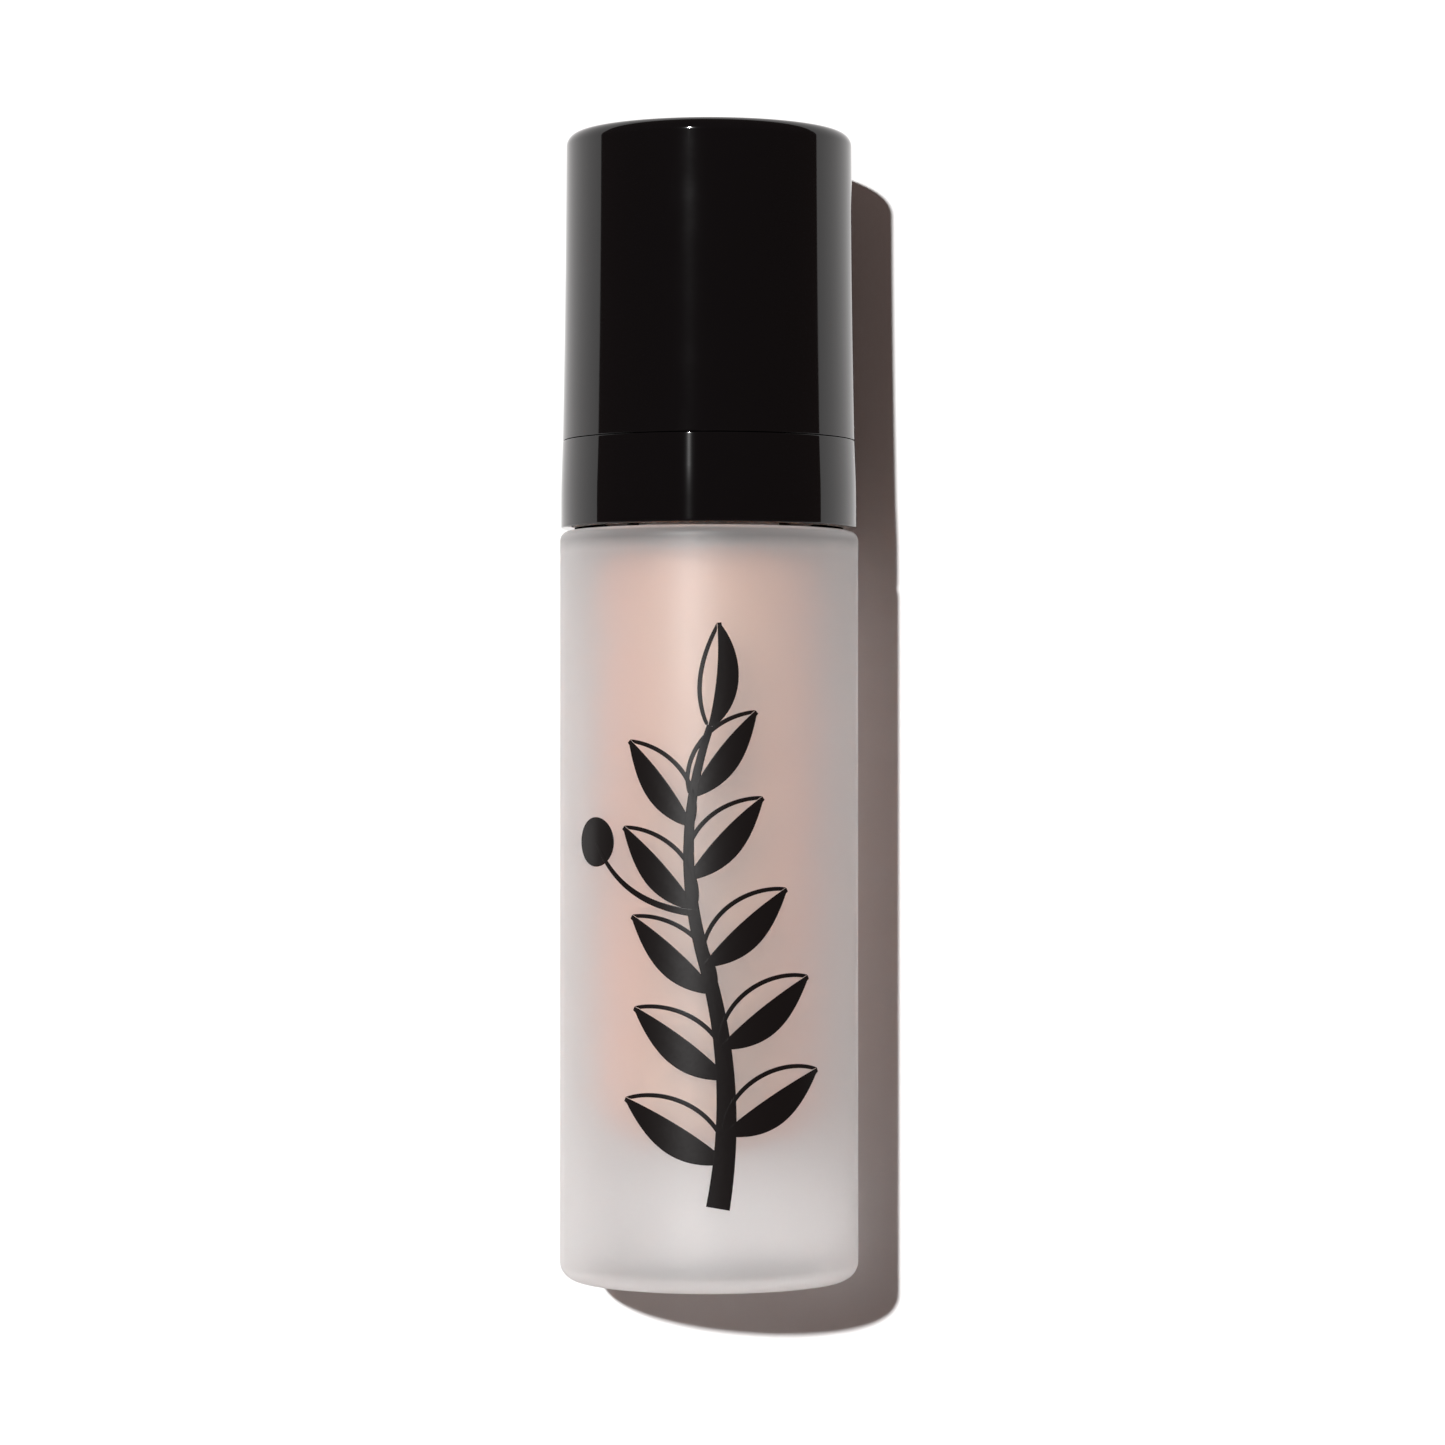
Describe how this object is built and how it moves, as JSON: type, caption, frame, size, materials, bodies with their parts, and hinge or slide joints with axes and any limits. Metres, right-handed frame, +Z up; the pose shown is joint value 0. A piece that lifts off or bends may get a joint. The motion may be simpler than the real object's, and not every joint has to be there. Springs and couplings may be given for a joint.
{
  "type": "foundation bottle",
  "caption": "Round thick-walled frosted glass bottle with a heavy base, a treatment pump on a screw closure and a gloss pull-off overcap.",
  "frame": {"origin": "on the bottle's axis, on the plane the base stands on", "axes": "+Z up along the bottle's axis to the overcap; the pump's spout points to -Y, the front"},
  "size_m": [0.0332, 0.0332, 0.1274],
  "materials": {
    "frosted_glass": "fine frosted",
    "foundation": "opaque pinkish beige liquid",
    "label": "satin film",
    "natural_plastic": "natural polypropylene",
    "gasket": "soft matte",
    "spring_steel": "drawn wire",
    "polished_steel": "polished",
    "satin_black": "satin moulded",
    "gloss_black": "high gloss piano black",
    "liner_plastic": "satin moulded"
  },
  "bodies": {
    "bottle": {"glass_bottle": "frosted_glass", "foundation_fill": "foundation", "base_label": "label"},
    "pump_body": {"dip_tube": "natural_plastic", "pump_housing": "natural_plastic", "housing_cap": "natural_plastic", "neck_gasket": "gasket", "stem_gasket": "gasket", "return_spring": "spring_steel"},
    "closure": {"screw_closure": "satin_black", "collar_shroud": "gloss_black"},
    "piston": {"piston_seal": "natural_plastic"},
    "head": {"piston_rod": "natural_plastic", "pump_stem": "natural_plastic", "actuator_core": "satin_black", "actuator_shell": "gloss_black", "nozzle_insert": "satin_black"},
    "ball": {"ball_valve": "polished_steel"},
    "overcap": {"overcap_shell": "gloss_black", "overcap_liner": "liner_plastic"}
  },
  "joints": [
    {"name": "pump_lift", "type": "slide", "parent": "bottle", "child": "pump_body", "axis": [0, 0, 1], "range_m": [0, 0.0056]},
    {"name": "closure_unscrew", "type": "hinge", "parent": "pump_body", "child": "closure", "pos_m": [0, 0, 0.0934], "axis": [0, 0, 1], "range_deg": [0, 630]},
    {"name": "pump_stroke", "type": "slide", "parent": "pump_body", "child": "piston", "axis": [0, 0, -1], "range_m": [0, 0.0045], "stiffness_N_per_m": 1350, "springref_m": -0.003, "deforming": ["return_spring"]},
    {"name": "head_turn", "type": "hinge", "parent": "piston", "child": "head", "pos_m": [0, 0, 0.1135], "axis": [0, 0, 1], "continuous": true},
    {"name": "ball_lift", "type": "slide", "parent": "pump_body", "child": "ball", "axis": [0, 0, 1], "range_m": [0, 0.0012]},
    {"name": "cap_pull", "type": "slide", "parent": "closure", "child": "overcap", "axis": [0, 0, 1], "range_m": [0, 0.045]}
  ],
  "couplings": [
    {"joint": "pump_lift", "follows": "closure_unscrew", "m_per_rad": 0.00050532}
  ]
}
